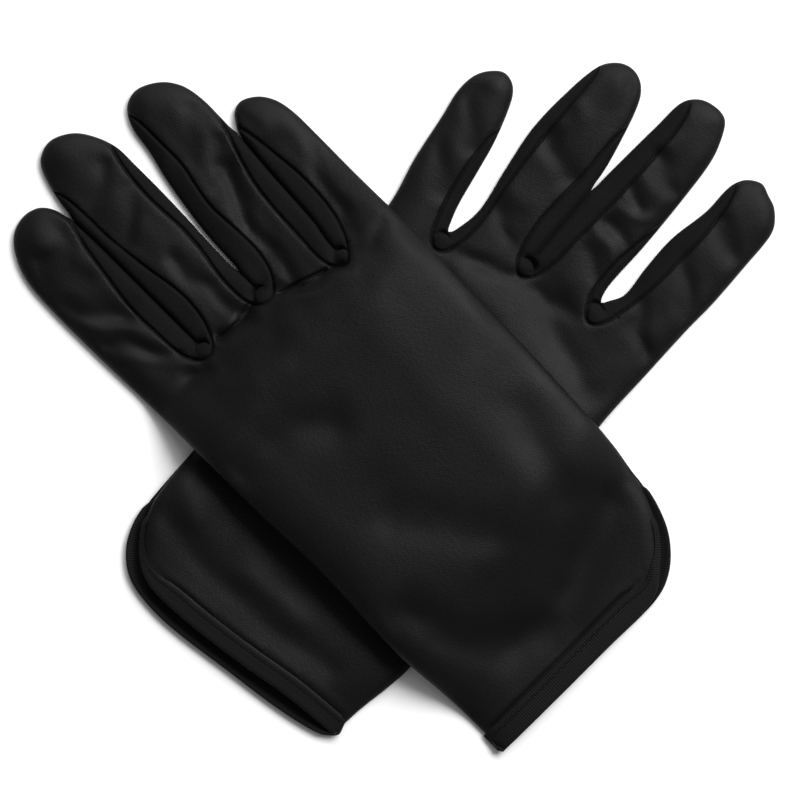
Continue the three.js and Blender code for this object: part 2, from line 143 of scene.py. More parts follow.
BACK_CUFF = {
    "right": [
        (-1.5, 45.2), (-1.6, 20), (-1.4, 0), (-1.2, -16), (0.2, -21.5), (4, -26.4), (9, -31.6),
        (16, -36.6), (24, -39.9), (30, -41.5),
    ],
    "left": [
        (-1.5, 36.8), (-1.5, 20), (-3.2, 0), (-4.1, -20), (-3.4, -32.6), (-1.6, -37.8), (1.4, -41.8),
        (5, -45), (9.6, -47.8), (17, -49.8), (25, -50.4), (34, -50.6),
    ],
}
PALM_CUFF = {
    "right": [
        (-1.5, 45.2), (-1.8, 20), (-1.8, 0), (-2, -16), (-1.1, -22.6), (1.3, -27.8), (5.2, -32.4),
        (10.6, -36.4), (17.6, -39.3), (25, -41), (30, -41.5),
    ],
    "left": [
        (-1.5, 36.8), (-4, 33), (-6.2, 20), (-7.5, 0), (-8.6, -22), (-7.4, -34), (-4.7, -41.2),
        (0.6, -46.6), (7.2, -49.6), (15, -50.7), (25, -50.8), (34, -50.6),
    ],
}

# %% [markdown]
# Inside each crotch seam, a pocket of the back is cut from the side strips. A second line divides the two
# neighbouring fingers, and where they lie against each other we note from which u to which u they touch.
# Two short creases cross the knuckles of the upper glove, where its fingers bend a little.

# %% Pattern of the seams, of the lines between fingers and of the creases
SEAMS = {
    "right": {
        "little_ring": [
            (190, -30.4), (184, -31.8), (172, -33.2), (162, -34), (150, -33.2), (142, -31), (137, -28.2),
            (134.2, -24.8), (136.5, -21.6), (142, -20.4), (150, -20.8), (160, -21.3), (170, -22.4),
            (180, -25), (190, -28.4), (195, -30.4),
        ],
        "ring_middle": [
            (214, -9.4), (210, -11), (200, -11.2), (190, -11), (182, -9.4), (175, -8.4), (165, -8.8),
            (156, -8.8), (149, -7.2), (144.4, -4.2), (143, -0.8), (144.4, 2.6), (149, 4.4), (158, 4.4),
            (168, 2.8), (177, 2.2), (190, 2.8), (200, 2), (208, 0.2), (213, -2.4),
        ],
        "middle_index": [
            (214, 23), (209, 20.8), (200, 20), (190, 19.8), (176, 18.2), (164, 16.4), (155, 16.8),
            (149, 18.6), (145, 21), (143.8, 24), (145.6, 27), (151, 29.2), (160, 29.8), (171, 30),
            (185, 28), (195, 26.5), (203, 24.4), (208, 22.6),
        ],
    },
    "left": {
        "little_ring": [
            (172, -42.8), (164, -44), (154, -43.6), (144, -42.2), (136, -40), (130.4, -37.6), (128.4, -35),
            (130.2, -31.8), (137, -30), (146, -29.8), (160, -31.2), (175, -31.8), (190, -31.8),
            (199, -32), (205, -33.6),
        ],
        "ring_middle": [
            (199, -13), (190, -15.2), (175, -15.4), (160, -16.2), (151, -16), (143.5, -14.4), (138.8, -11),
            (141, -7.2), (147, -5.2), (156, -4.6), (166, -3.8), (176, -3.2), (190, -2.8), (203, -3),
            (210, -4.6), (214.5, -7.6),
        ],
        "middle_index": [
            (182, 13.6), (172, 11), (162, 9.4), (154, 9), (147, 10.2), (142.2, 12.8), (141.6, 15.4),
            (144.4, 18), (150, 19.8), (158, 21.8), (170, 23), (182, 23.8), (192, 23.6), (200, 22),
            (205, 19.6),
        ],
    },
}
GAPS = {
    "right": {
        "little_ring": [(136, -25.3), (142, -25.4), (150, -27), (170, -28.2), (185, -29.6), (225, -31.5)],
        "ring_middle": [(146, -0.6), (155, -0.6), (170, -0.8), (180, -2), (190, -3), (225, -5)],
        "middle_index": [(146, 23.5), (190, 23.5), (200, 23.8), (225, 24)],
    },
    "left": {
        "little_ring": [(130, -35), (145, -35.5), (160, -38), (177, -41.5), (225, -50)],
        "ring_middle": [(140, -10.6), (160, -10.6), (177, -10.8), (190, -11.5), (225, -14)],
        "middle_index": [(142, 14.2), (155, 14.4), (177, 14.5), (190, 16), (225, 16)],
    },
}
TOUCHING = {
    "right": {"little_ring": (139.4, 189), "ring_middle": (148.4, 158), "middle_index": (149.4, 205)},
    "left": {"ring_middle": (144.4, 175)},
}
CREASES = {
    "right": [[(145.8, 18.2), (145, 12), (144.7, 6)], [(142, -5), (140.4, -11.2), (137.2, -19.2)]],
    "left": [],
}
FINGERS = ["little", "ring", "middle", "index"]
CROTCHES = ["little_ring", "ring_middle", "middle_index"]

# %% [markdown]
# The pattern points are few, as a pattern maker would mark them. A Catmull-Rom curve passes through each
# one, so moving a point moves the line there and nowhere else. Three measuring helpers go with it: how far
# a point is from a line, whether it is inside an outline, and the line moved sideways.


# %% Smooth lines through pattern points
CURVE_STEPS = 24
SEAM_STEP = 0.9


def smooth_line(points, spacing=1.0):
    """A Catmull-Rom curve through the points, with one point each spacing mm."""
    p = np.array(points, float)
    p = np.vstack([2 * p[0] - p[1], p, 2 * p[-1] - p[-2]])
    t = np.linspace(0, 1, CURVE_STEPS, endpoint=False)[:, None]
    parts = []
    for a, b, c, d in zip(p[:-3], p[1:-2], p[2:-1], p[3:]):
        size = np.linalg.norm(c - b)
        into = (c - a) / (np.linalg.norm(b - a) + size) * size
        out = (d - b) / (np.linalg.norm(d - c) + size) * size
        h1, h2 = 2 * t**3 - 3 * t**2 + 1, t**3 - 2 * t**2 + t
        h3, h4 = 3 * t**2 - 2 * t**3, t**3 - t**2
        parts.append(h1 * b + h2 * into + h3 * c + h4 * out)
    return respaced(np.vstack([*parts, p[-2:-1]]), spacing)


def respaced(line, spacing):
    """The same line, with its points spread evenly."""
    steps = np.linalg.norm(np.diff(line, axis=0), axis=1)
    run = np.concatenate([[0], np.cumsum(steps)])
    count = max(2, int(round(run[-1] / spacing)) + 1)
    at = np.linspace(0, run[-1], count)
    return np.column_stack([np.interp(at, run, line[:, k]) for k in range(line.shape[1])])


# %% Distance, inside and offset
AT_A_TIME = 1500


def distance(points, line, closed=False):
    """Distance from each 2-D point to a line of points, in mm."""
    line = np.vstack([line, line[:1]]) if closed else line
    a, b = line[:-1], line[1:]
    d = b - a
    size = np.maximum((d**2).sum(1), 1e-12)
    found = []
    for some in np.array_split(points, max(1, len(points) // AT_A_TIME)):
        t = np.clip(((some[:, None] - a) * d).sum(2) / size, 0, 1)
        found.append(np.sqrt(((a + t[..., None] * d - some[:, None]) ** 2).sum(2).min(1)))
    return np.concatenate(found)


def inside(points, polygon):
    """Which 2-D points lie inside a closed polygon."""
    x, y = points[:, 0], points[:, 1]
    hit = np.zeros(len(points), bool)
    for (x1, y1), (x2, y2) in zip(polygon, np.roll(polygon, -1, axis=0)):
        if y1 != y2:
            crosses = (y1 > y) != (y2 > y)
            hit ^= crosses & (x < (x2 - x1) * (y - y1) / (y2 - y1) + x1)
    return hit


def offset(line, by):
    """The line moved sideways, to its left for a positive distance."""
    along = np.gradient(line, axis=0)
    along /= np.linalg.norm(along, axis=1)[:, None]
    return line + by * np.column_stack([-along[:, 1], along[:, 0]])


def inwards(edge, outline):
    """From each point of a panel's edge, a step of 1 mm into the cloth."""
    step = offset(edge, 1) - edge
    middle = len(edge) // 2
    return step if inside(edge[middle][None] + 2 * step[middle], outline)[0] else -step


# %% The pattern's lines
rims = {hand: smooth_line(RIM[hand]) for hand in HANDS}
seams = {h: {k: smooth_line(v, SEAM_STEP) for k, v in SEAMS[h].items()} for h in HANDS}
creases = {hand: [smooth_line(line, SEAM_STEP) for line in CREASES[hand]] for hand in HANDS}
outlines = {
    (hand, side): np.vstack([rims[hand], smooth_line(cuff[hand])[1:-1]])
    for side, cuff in (("back", BACK_CUFF), ("palm", PALM_CUFF))
    for hand in HANDS
}
print("rim lengths", {h: round(len(r)) for h, r in rims.items()}, "mm")

# %% [markdown]
# ## How thick the empty glove lies
# An empty glove is not flat. Air and the spring of the knit hold back and palm apart, so the back rises
# from the rim in a round shoulder and crowns in the middle. It is thinner in the fingers and at the cuff.
# The thumb under the palm lifts the glove, and the right glove climbs over the left. All of these are
# smooth height functions of (u, v), so the cloth can be cut in any way and its pieces still meet.

# %% Lift over the other glove and over the thumb
THUMB_LAYER = 2.3
CROSSING = {"centre": 87, "slope": -0.128, "flat": 40, "fall": 70, "height": 9.3}


def smoothstep(x, low, high):
    """0 up to low, 1 from high, and a smooth rise between."""
    t = np.clip((x - low) / (high - low), 0, 1)
    return t * t * (3 - 2 * t)


def crossing_lift(hand, uv):
    """The right glove climbs onto the left one, lies flat across it and comes down again."""
    if hand == "left":
        return np.zeros(len(uv))
    off = np.abs(uv[:, 0] - CROSSING["centre"] - CROSSING["slope"] * uv[:, 1])
    return CROSSING["height"] * (1 - smoothstep(off, CROSSING["flat"], CROSSING["fall"]))


def thumb_lift(uv):
    """The tucked thumb's two plies raise the hand over them."""
    u, v = uv[:, 0], uv[:, 1]
    along = smoothstep(u, 34, 56) * (1 - smoothstep(u, 110, 146))
    return THUMB_LAYER * along * smoothstep(v, -38, -14)


def base(hand, uv):
    return crossing_lift(hand, uv) + thumb_lift(uv)


print("the right glove rises", CROSSING["height"], "mm, and each hand", THUMB_LAYER, "mm over its thumb")


# %% Round shoulders, humps and ripples
def round_shoulder(d, radius):
    """A quarter circle: 0 at distance 0, and 1 from distance radius on."""
    return np.sqrt(1 - (1 - np.clip(d / radius, 0, 1)) ** 2)


def hump(d, width, centre=0.0):
    """A bell curve of height 1: it has fallen to 0.37 at width mm from its centre."""
    return np.exp(-(((d - centre) / width) ** 2))


def ripples(uv, size, seed, stretch=1.0):
    """Soft random undulation, from -1 to 1, size mm across."""
    return np.array(
        [noise.noise(Vector((u / size / stretch, v / size, seed))) for u, v in uv.tolist()]
    )


# %% [markdown]
# ## Folds
# Satin shows its shape by its folds. Each fold is a line on the cloth with a width and a height: a negative
# height is a valley, and a positive one a ridge. Valleys fan out from the crotches, where the seams pull.

# %% Fold lines: (points, half width, height), all in mm
FOLDS = {
    "right": [
        ([(48, 36), (31, 31), (19, 19), (14, 5), (20, -9), (29, -29)], 7, -2.0),
        ([(70, 18), (58, 9), (47, 1)], 7, -1.3),
        ([(66, -30), (52, -26), (40, -22)], 6, -1.1),
        ([(112, 44), (111, 24), (104, 12)], 6, -1.5),
        ([(139, 30), (137, 18), (133, 8)], 4.5, -0.8),
        ([(146, 17.5), (145, 11), (145, 4.5)], 1.5, -1.9),
        ([(142, 17.5), (141, 11), (141.2, 4.5)], 2.2, 0.3),
        ([(143.6, -4.5), (141, -9), (138.5, -14), (136.6, -19), (134.4, -24)], 1.5, -1.9),
        ([(139.6, -4.5), (137, -9), (134.4, -14), (132.6, -19), (130.4, -24)], 2.2, 0.3),
        ([(134, -27), (133, -34), (135, -41)], 2.4, -0.9),
        ([(144.6, 27), (150, 31), (160, 36), (168, 42.5)], 1.9, -1.0),
        ([(148, 25.6), (162, 32.4), (176, 43.4)], 2.1, 0.5),
        ([(141, 27.3), (143, 38), (143.5, 45)], 2.5, -1.1),
        ([(143.5, 27.6), (155, 36), (164, 46)], 1.8, 0.4),
        ([(184, 44), (177, 38), (170, 32.4)], 3.2, -1.2),
        ([(193, 31), (188, 28)], 2.6, 0.6),
        ([(206, 36), (202, 34)], 3.4, 0.7),
        ([(199, 38), (194, 43)], 3, -0.8),
        ([(173, 10.6), (162, 10), (151, 9.2), (143, 8)], 2.6, -1.0),
        ([(196, 5), (190, 11), (187, 17)], 3, -0.9),
        ([(206, 6), (202, 12), (200, 18)], 3, -0.7),
        ([(182, -20), (174, -17), (163, -12.4), (150, -11), (143, -11)], 2.4, -1.4),
        ([(200, -26), (194, -20), (192, -14)], 3, -0.9),
        ([(186, -24), (180, -19), (178, -13)], 2.6, -0.8),
        ([(168, -44), (160, -38.5), (150, -36), (141, -33)], 2.6, -1.1),
        ([(180, -42), (176, -37), (175, -33)], 2.6, -0.7),
        ([(96, -42), (88, -20), (84, 4)], 8, 0.8),
        ([(126, -40), (120, -20), (122, 4), (128, 24)], 7, 0.9),
    ],
    "left": [
        ([(16, -44), (12, -30), (11, -9), (11, 3), (13, 22)], 4, -0.8),
        ([(36, -38), (29, -22), (27, -4), (27, 14), (28, 34)], 7.5, -1.7),
        ([(26, -46), (20, -38)], 4, 0.6),
        ([(18, -14), (18, 6)], 4.5, 0.6),
        ([(140, -6), (134, 8), (126, 27)], 6, -1.5),
        ([(128, -36), (122, -24), (120, -8)], 4, -1.0),
        ([(139, -12), (134, -20), (131, -31)], 2.4, -1.0),
        ([(141, 13), (139, 5), (139, -4)], 2.4, -0.8),
        ([(192, -1.5), (187, 9)], 3, -1.1),
        ([(184.6, -1), (181.3, 8)], 1.6, 0.45),
        ([(180.2, -2), (178.5, 3)], 1.6, -0.8),
        ([(173.7, -1), (174, 4.5), (178, 8)], 1.6, 0.4),
        ([(168.5, 0), (165, 9.4)], 2.2, -1.0),
        ([(163.6, -2), (160, 9)], 1.8, 0.4),
        ([(157, -1), (153, 7)], 2.2, -0.9),
        ([(175, -30), (170.5, -18)], 3.4, -1.15),
        ([(158, -28), (156, -24)], 4, 0.7),
        ([(150, -29), (146, -20)], 2.6, -0.9),
        ([(205, -23), (193, -20)], 2.8, -1.0),
        ([(190, -30), (186, -26)], 2.6, 0.5),
        ([(174, 25), (168, 30), (162, 36)], 2.8, -0.9),
        ([(190, 26), (186, 31), (183, 37)], 2.8, -0.8),
        ([(156, 22), (150, 28), (145, 35)], 3, -1.0),
        ([(172, -57), (166, -52), (160, -46)], 3, -0.8),
        ([(158, -57), (150, -52), (143, -45)], 3, -0.8),
    ],
}


# %% Folds, bent and uneven
SWAY = {"size": 9, "bend": 2.4, "depth": 0.8, "hand": 0.25}


def folds(hand, uv):
    """The folds, with their lines bent and their depths varied a little, as cloth never creases evenly."""
    loose = SWAY["hand"] + (1 - SWAY["hand"]) * smoothstep(uv[:, 0], 120, 146)
    sway = np.column_stack([ripples(uv, SWAY["size"], seed) for seed in (11.0, 12.0)])
    bent = uv + SWAY["bend"] * loose[:, None] * sway
    deep = 1 + SWAY["depth"] * loose * ripples(uv, SWAY["size"], 13.0)
    total = np.zeros(len(uv))
    for points, half, height in FOLDS[hand]:
        line = smooth_line(points, 2)
        off_centre = np.abs(bent - (line.min(0) + line.max(0)) / 2)
        near = (off_centre < np.ptp(line, axis=0) / 2 + 3 * half).all(1)
        total[near] += height * hump(distance(bent[near], line), half)
    return total * deep


print("folds", {hand: len(lines) for hand, lines in FOLDS.items()})


# %% [markdown]
# At each crotch the two side strips meet in a small rolled tongue, and a curved slit opens over it, where
# the fingers part. The slit is an arc in the pattern, about as deep as the cloth lies thick there.


# %% Crotch tongue and slit
TONGUE = {"back": 3.1, "height": 0.8, "radius": 1.9}
SLIT_RADIUS = {"little_ring": 2.2, "ring_middle": 2.7, "middle_index": 2.4}
SLIT_ENDS = {"little_ring": (-85, 25), "ring_middle": (-40, 90), "middle_index": (-90, 35)}


def tongue(hand, crotch):
    """Centre of a crotch's tongue, from the point of the rim where the two fingers part."""
    line = np.array(GAPS[hand][crotch], float)
    lowest = rims[hand][distance(rims[hand], line[:3]) < 1.2]
    return lowest[np.argmin(lowest[:, 0])] - (TONGUE["back"], 0)


def slit(hand, crotch):
    """The arc round a tongue."""
    angles = np.radians(np.linspace(*SLIT_ENDS[crotch], 14))
    return tongue(hand, crotch) + SLIT_RADIUS[crotch] * np.column_stack([np.cos(angles), np.sin(angles)])


slits = {hand: {crotch: slit(hand, crotch) for crotch in CROTCHES} for hand in HANDS}


def crotch_relief(hand, uv):
    """The tongues stand up, and each slit is narrow and shallow at its ends, and wide and deep between."""
    total = np.zeros(len(uv))
    for crotch, line in slits[hand].items():
        away = np.linalg.norm(uv - tongue(hand, crotch), axis=1)
        total += TONGUE["height"] * hump(away, TONGUE["radius"])
        near = away < 8
        ends = np.minimum(*[np.linalg.norm(uv[near] - end, axis=1) for end in (line[0], line[-1])])
        wide = 0.3 + 0.3 * smoothstep(ends, 0, 2.4)
        deep = 1.2 + 1.2 * smoothstep(ends, 0, 2)
        total[near] -= deep * hump(distance(uv[near], line), wide)
    return total


print("tongues at", {h: [tuple(np.round(tongue(h, c), 1).tolist()) for c in CROTCHES] for h in HANDS})


# %% [markdown]
# A seam is sewn on the inside, so from outside it shows as a thin groove. The thread pulls the cloth down
# there, and the seam allowance under it lifts a soft roll on each side, with small puckers. The knuckle
# creases are cut the same way, but deeper, because there the cloth is folded and not sewn.

# %% Seams and creases
GROOVE = {"depth": 1.1, "width": 0.36}
SEAM_ROLL = {"height": 0.14, "width": 1.1, "centre": 1.7}
CREASE = {"depth": 1.5, "width": 0.45}


def seam_relief(hand, uv):
    """A seam pulls the cloth down to a groove, with a soft roll and small puckers on each side."""
    total = np.zeros(len(uv))
    for line in seams[hand].values():
        d = distance(uv, line)
        pucker = 1 + 0.35 * ripples(uv, 2.2, 3.0)
        total -= GROOVE["depth"] * hump(d, GROOVE["width"])
        total += SEAM_ROLL["height"] * hump(d, SEAM_ROLL["width"], SEAM_ROLL["centre"]) * pucker
    for line in creases[hand]:
        total -= CREASE["depth"] * hump(distance(uv, line), CREASE["width"])
    return total


# %% [markdown]
# The cuff is bound with tape. Its grip makes the knit puff up beside it. At the rounded corner of the side
# vent the back curls down over its own edge, so the tape turns on edge there and looks narrow. The lower
# glove's cuff is looser and gapes a little, and it leans, so that less of its tape faces up.

# %% How the cuff and its tape lie
TAPE_DEPTH = 6.6
TAPE_SHOWN = {"left": 0.8, "right": 1.06}
TAPE_TURNS = {"left": (24, 48), "right": (10, 34)}
TAPE_ON_EDGE = 0.86
VENT_CURL = {"drop": 2.6, "reach": 5, "left": (36, 47), "right": (22, 34)}
CUFF_GAPE = 1.1


def vent_curl(hand, uv):
    """How far the back curls down over its own edge round the side vent."""
    d = distance(uv, smooth_line(BACK_CUFF[hand], 1))
    near = smoothstep(-uv[:, 1], *VENT_CURL[hand])
    return VENT_CURL["drop"] * near * (1 - round_shoulder(d, VENT_CURL["reach"]))


def tape_width(hand, v):
    """The back's tape turns on edge round the corner of the vent, so less of it shows there."""
    return TAPE_DEPTH * TAPE_SHOWN[hand] * (1 - TAPE_ON_EDGE * smoothstep(-v, *TAPE_TURNS[hand]))


def tape_edge(hand):
    """The line on the back that the tape's inner edge follows, short of the rim and of the tucked end."""
    edge = smooth_line(BACK_CUFF[hand], 1)
    width = tape_width(hand, edge[:, 1])
    line = edge + inwards(edge, outlines[hand, "back"]) * width[:, None]
    kept = (width > 2.6) & (distance(line, rims[hand]) > 1.8) & (distance(line, edge) > 0.9 * width)
    return respaced(line[kept], 0.8)


def roll_by_tape(hand, uv):
    """The tape grips the knit, which puffs up in a small roll along its inner edge."""
    total = np.zeros(len(uv))
    near = uv[:, 0] < 40
    d = distance(uv[near], smooth_line(BACK_CUFF[hand], 1)) - tape_width(hand, uv[near, 1])
    total[near] = 0.4 * hump(d, 1.2, 1.9) - 0.6 * hump(d, 0.34, 0.42)
    return total * (tape_width(hand, uv[:, 1]) / TAPE_DEPTH) ** 2


def cuff_gape(hand, uv):
    """The lower glove's cuff stands a little open."""
    if hand == "right":
        return np.zeros(len(uv))
    return CUFF_GAPE * (1 - smoothstep(distance(uv, smooth_line(BACK_CUFF[hand], 1)), 4, 24))


# %% [markdown]
# Some fingers lie against each other. Their sides are then steep, because each leans on the other. The
# pattern keeps them apart by a scissor cut, and the cloth along that cut is eased over until they touch.


# %% Fingers that touch
CLOSING = 0.48


def beside_gap(hand, uv):
    """1 along a cut whose two fingers touch, and 0 from 6 mm off it."""
    found = np.zeros(len(uv))
    for crotch, (start, end) in TOUCHING[hand].items():
        line = np.array(GAPS[hand][crotch], float)
        off = np.abs(uv[:, 1] - np.interp(uv[:, 0], line[:, 0], line[:, 1]))
        along = smoothstep(uv[:, 0], start - 1, start + 2) * (1 - smoothstep(uv[:, 0], end - 6, end + 10))
        found = np.maximum(found, along * (1 - smoothstep(off, 1.5, 6)))
    return found


def laid(hand, uv):
    """Where a point of the pattern lies once touching fingers are closed up."""
    uv = uv.copy()
    for crotch, (start, end) in TOUCHING[hand].items():
        line = np.array(GAPS[hand][crotch], float)
        off = uv[:, 1] - np.interp(uv[:, 0], line[:, 0], line[:, 1])
        along = smoothstep(uv[:, 0], start, start + 1.5) * (1 - smoothstep(uv[:, 0], end - 4, end))
        uv[:, 1] -= np.sign(off) * CLOSING * along * (1 - smoothstep(np.abs(off), 0.5, 4))
    return uv


# %% [markdown]
# Now the two height functions. The back is a crown with round shoulders, and the ripples, folds, seams and
# slits are added to it. They fade out at the rim, so that back and palm always meet there. The palm lies
# flat, and only turns up to the rim.

# %% Height of the back and of the palm
RIM_HEIGHT = 1.0
SHOULDER = {"hand": 15, "finger": 8.5, "gap": 2.4}
CROWN = {"hand": 4.6, "finger": 3.4, "cuff": 1.6}
PALM_LOWEST, PALM_SHOULDER = 0.12, 2.6


def back_height(hand, uv):
    """Height of the back over the table, in mm."""
    u = uv[:, 0]
    d = distance(uv, rims[hand])
    finger = smoothstep(u, 118, 142)
    cuff = 1 - smoothstep(u, 0, 30)
    touching = beside_gap(hand, uv)
    radius = SHOULDER["hand"] + (SHOULDER["finger"] - SHOULDER["hand"]) * finger
    radius = radius * (1 - touching) + SHOULDER["gap"] * touching
    crown = CROWN["hand"] + (CROWN["finger"] - CROWN["hand"]) * finger - CROWN["cuff"] * cuff
    shoulder = round_shoulder(d, radius)
    shape = crown * shoulder
    loose = 0.55 * ripples(uv, 28, 1.0, 1.6) + (0.05 + 0.38 * finger) * ripples(uv, 7.5, 2.0, 1.3)
    shape += (loose + folds(hand, uv)) * smoothstep(d, 0.2, 5)
    shape += roll_by_tape(hand, uv) * smoothstep(d, 0.2, 3) + cuff_gape(hand, uv) * smoothstep(d, 2, 20)
    shape += (seam_relief(hand, uv) + crotch_relief(hand, uv)) * smoothstep(d, 0.1, 0.9)
    shape = np.maximum(shape - vent_curl(hand, uv), 0.15 * shoulder + 0.02)
    return base(hand, uv) + RIM_HEIGHT + shape


def palm_height(hand, uv):
    """Height of the palm over the table, in mm."""
    turned_up = 1 - round_shoulder(distance(uv, rims[hand]), PALM_SHOULDER)
    return base(hand, uv) + PALM_LOWEST + (RIM_HEIGHT - PALM_LOWEST) * turned_up


for hand in HANDS:
    print(hand, "back", np.round(back_height(hand, np.array([(60.0, 0.0)])), 1), "mm up in mid hand")


# %% [markdown]
# ## Cutting the cloth
# A constrained Delaunay triangulation fills the outline with an even net and keeps every seam as an edge.
# Rows of points close to the rim and to the seams give those small roundings enough faces. The net is then
# split into the glove's pieces, and each keeps the smooth normals of the whole sheet, so no cut shows.

# %% Net of a sheet
NET = 1.35
RIM_ROWS = (0.12, 0.4, 0.9, 1.6)
SEAM_ROWS = (-1.1, -0.55, -0.25, 0.25, 0.55, 1.1)


def rails(line, offsets, closed=False):
    """Rows of points beside a line, without those that come too close to it again in a bend."""
    rows = [offset(line, by) for by in offsets]
    kept = [row[distance(row, line, closed) > 0.85 * abs(by)] for row, by in zip(rows, offsets)]
    return np.vstack(kept)


def even_grid(outline, lines):
    """Points in staggered rows, clear of the outline and of the lines."""
    low, high = outline.min(0), outline.max(0)
    rows = np.arange(low[0], high[0], NET * 0.866)
    grid = np.array([
        (u, v)
        for i, u in enumerate(rows)
        for v in np.arange(low[1] + (i % 2) * NET / 2, high[1], NET)
    ])
    grid = grid[distance(grid, outline, True) > 2.1]
    for line in lines:
        grid = grid[distance(grid, line) > 1.6]
    return grid


def net(outline, lines, crossings):
    """Triangles that fill the outline and keep all the lines as edges: (points, faces)."""
    rim_rails = rails(outline, [side * k for side in (-1, 1) for k in RIM_ROWS], True)
    seam_rails = [rails(line, SEAM_ROWS) for line in lines]
    loose = np.vstack([rim_rails, *seam_rails, even_grid(outline, lines)])
    loose = loose[inside(loose, outline) & (distance(loose, outline, True) > 0.08)]
    points = [outline, *lines, *crossings, loose]
    starts = np.cumsum([0] + [len(p) for p in points])
    edges = [(i, (i + 1) % len(outline)) for i in range(len(outline))]
    for k in range(1, 1 + len(lines) + len(crossings)):
        edges += [(i, i + 1) for i in range(starts[k], starts[k + 1] - 1)]
    flat = [Vector(p) for p in np.vstack(points).tolist()]
    made = geometry.delaunay_2d_cdt(flat, edges, [], 0, 1e-4)
    uv = np.array([tuple(p) for p in made[0]])
    faces = np.array([f for f in made[2] if len(f) == 3])
    faces = faces[inside(uv[faces].mean(1), outline)]
    return uv, faces


def sheet_normals(points, faces):
    """The smooth normal of a sheet at each of its points."""
    a, b, c = (points[faces[:, k]] for k in range(3))
    each = np.cross(b - a, c - a)
    total = np.zeros_like(points)
    for k in range(3):
        np.add.at(total, faces[:, k], each)
    return total / np.maximum(np.linalg.norm(total, axis=1), 1e-20)[:, None]


# %% One piece of cloth from a sheet
def piece_of(name, points, faces, flat, material, normals=None):
    """A smooth mesh with its flat pattern as UV map, in metres."""
    mesh = bpy.data.meshes.new(name)
    mesh.from_pydata(points.tolist(), [], faces)
    mesh.shade_smooth()
    if normals is not None:
        mesh.normals_split_custom_set_from_vertices(normals.tolist())
    corners = [i for face in faces for i in face]
    mesh.uv_layers.new(name="flat").data.foreach_set("uv", (flat[corners] * MM).ravel())
    mesh.materials.append(material)
    obj = bpy.data.objects.new(name, mesh)
    bpy.context.collection.objects.link(obj)
    return obj


def cloth_piece(name, uv, points, normals, faces, material):
    """Some of a sheet's faces as a piece, with the sheet's own normals."""
    used, index = np.unique(faces, return_inverse=True)
    return piece_of(name, points[used], index.reshape(-1, 3).tolist(), uv[used], material, normals[used])


# %% [markdown]
# ## Materials
# The satin is a warp knit of nylon and elastane. Its long shiny floats give a broad, soft sheen. Black
# satin is dark because the dye absorbs nearly all light that enters, so what the eye sees is almost only
# the surface reflection. The side strips are the same knit with its dull side out. Both start from a
# Principled shader at a low specular level, since dyed fibre reflects less than moulded plastic does.


# %% Colour and node helpers
def linear(hex_colour):
    """An sRGB hex colour as linear RGBA."""
    parts = [int(hex_colour[i : i + 2], 16) / 255 for i in (1, 3, 5)]
    return (*[c / 12.92 if c <= 0.04045 else ((c + 0.055) / 1.055) ** 2.4 for c in parts], 1.0)


def add(tree, kind, settings=None, **inputs):
    """Adds a node. Settings are its properties, and inputs are values or sockets to link."""
    node = tree.nodes.new(kind)
    for key, value in (settings or {}).items():
        setattr(node, key, value)
    for key, value in inputs.items():
        socket = node.inputs[int(key[1:])] if key[1:].isdigit() else node.inputs[key.replace("_", " ")]
        if isinstance(value, bpy.types.NodeSocket):
            tree.links.new(value, socket)
        else:
            socket.default_value = value
    return node


def new_material(name, colour, roughness, sheen, specular):
    """A Principled material. Its sheen is the faint grey light that fibre ends catch at a slope."""
    material = bpy.data.materials.new(name)
    material.use_nodes = True
    shader = material.node_tree.nodes["Principled BSDF"]
    shader.inputs["Base Color"].default_value = linear(colour)
    shader.inputs["Roughness"].default_value = roughness
    shader.inputs["Specular IOR Level"].default_value = specular
    shader.inputs["Sheen Weight"].default_value = sheen
    shader.inputs["Sheen Roughness"].default_value = 0.45
    shader.inputs["Sheen Tint"].default_value = linear("#d8d8e0")
    return material, material.node_tree, shader


# %% [markdown]
# A wale is a column of loops and a course is a row of them. A fine satin has a wale each 0.4 to 0.5 mm,
# too fine to show here, so ours are drawn 0.6 mm apart, and 0.7 mm on the dull side. A Wave texture of
# scale 1 has 3.18 bands to the unit, which turns a spacing into a scale. Noise breaks the bands up, since
# the floats of satin cover most of its loops, and a slow mottle in the gloss stands for handling.

# %% Knitted satin and its dull side
WAVE_BANDS, COURSE_BANDS = 3.18, 3.6


